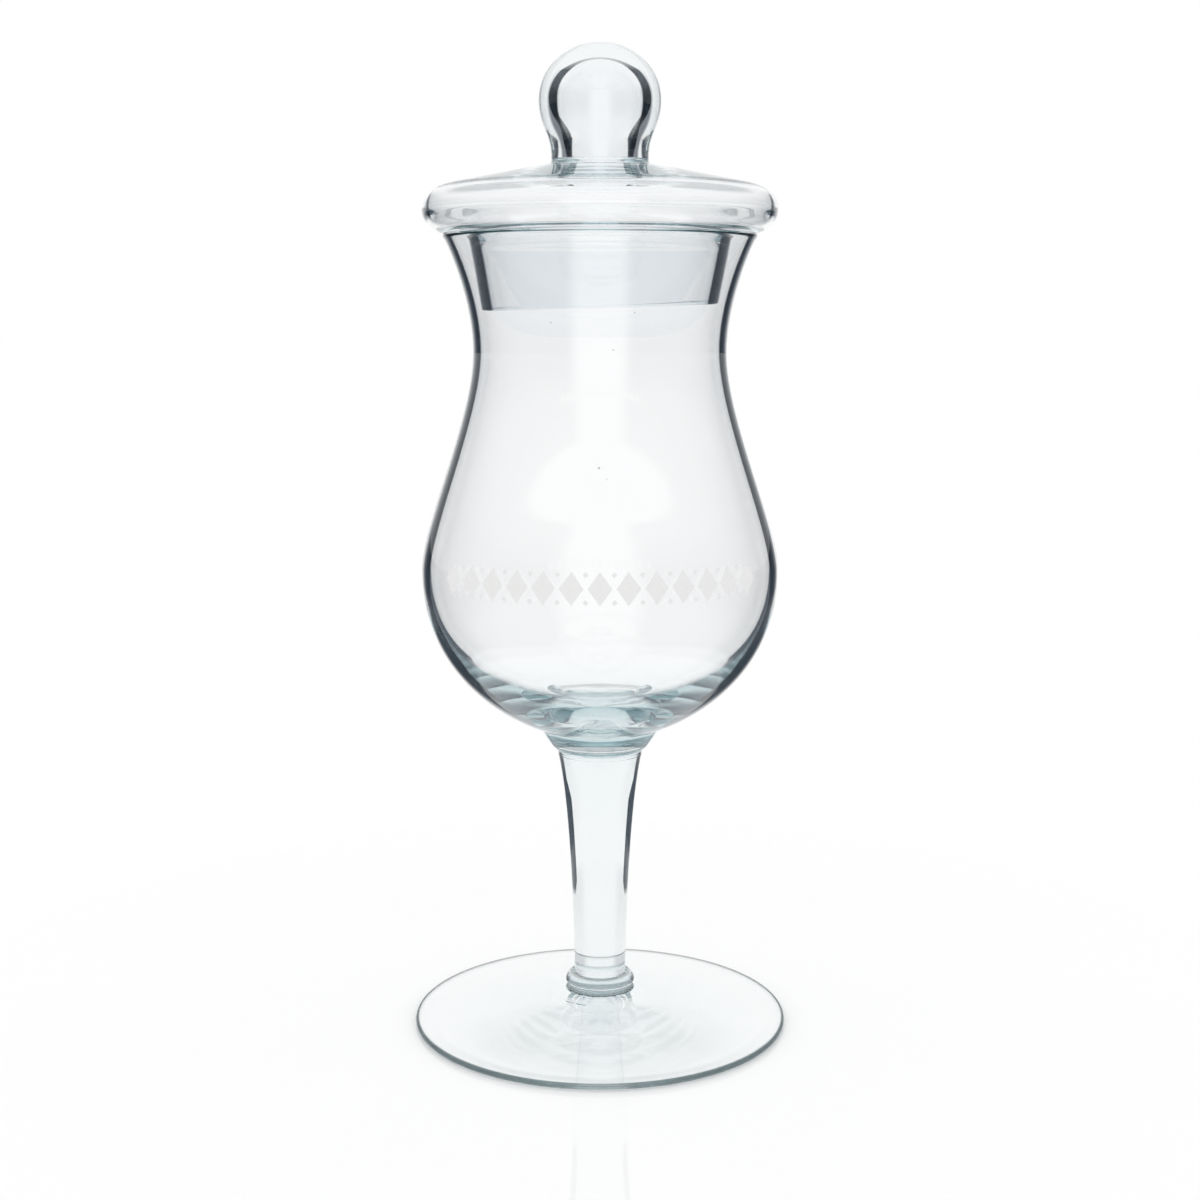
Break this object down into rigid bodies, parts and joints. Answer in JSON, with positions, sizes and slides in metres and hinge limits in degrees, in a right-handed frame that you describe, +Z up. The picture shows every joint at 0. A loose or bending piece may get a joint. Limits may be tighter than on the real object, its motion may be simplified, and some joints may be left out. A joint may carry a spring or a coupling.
{
  "type": "covered schnapps glass",
  "caption": "Clear stemmed tulip glass with a waisted bowl, a flat round foot and a loose hollow lid with a ball knob.",
  "frame": {"origin": "middle of the ring that the foot stands on, on the axis of the glass", "axes": "+Z up along the axis of the glass, towards the knob; X and Y are alike, because the glass is round"},
  "size_m": [0.075, 0.075, 0.1928],
  "materials": {
    "clear_glass": "polished clear soda-lime glass, faintly blue-green where it is thick",
    "frosted_print": "matt pale grey print, fired on the front of the bowl"
  },
  "bodies": {
    "goblet": {"foot": "clear_glass", "foot_collar": "clear_glass", "stem": "clear_glass", "bowl": "clear_glass"},
    "lid": {"lid_cover": "clear_glass", "lid_knob": "clear_glass"}
  },
  "joints": [
    {"name": "lid_lift", "type": "slide", "parent": "goblet", "child": "lid", "axis": [0, 0, 1], "range_m": [0, 0.045]}
  ]
}
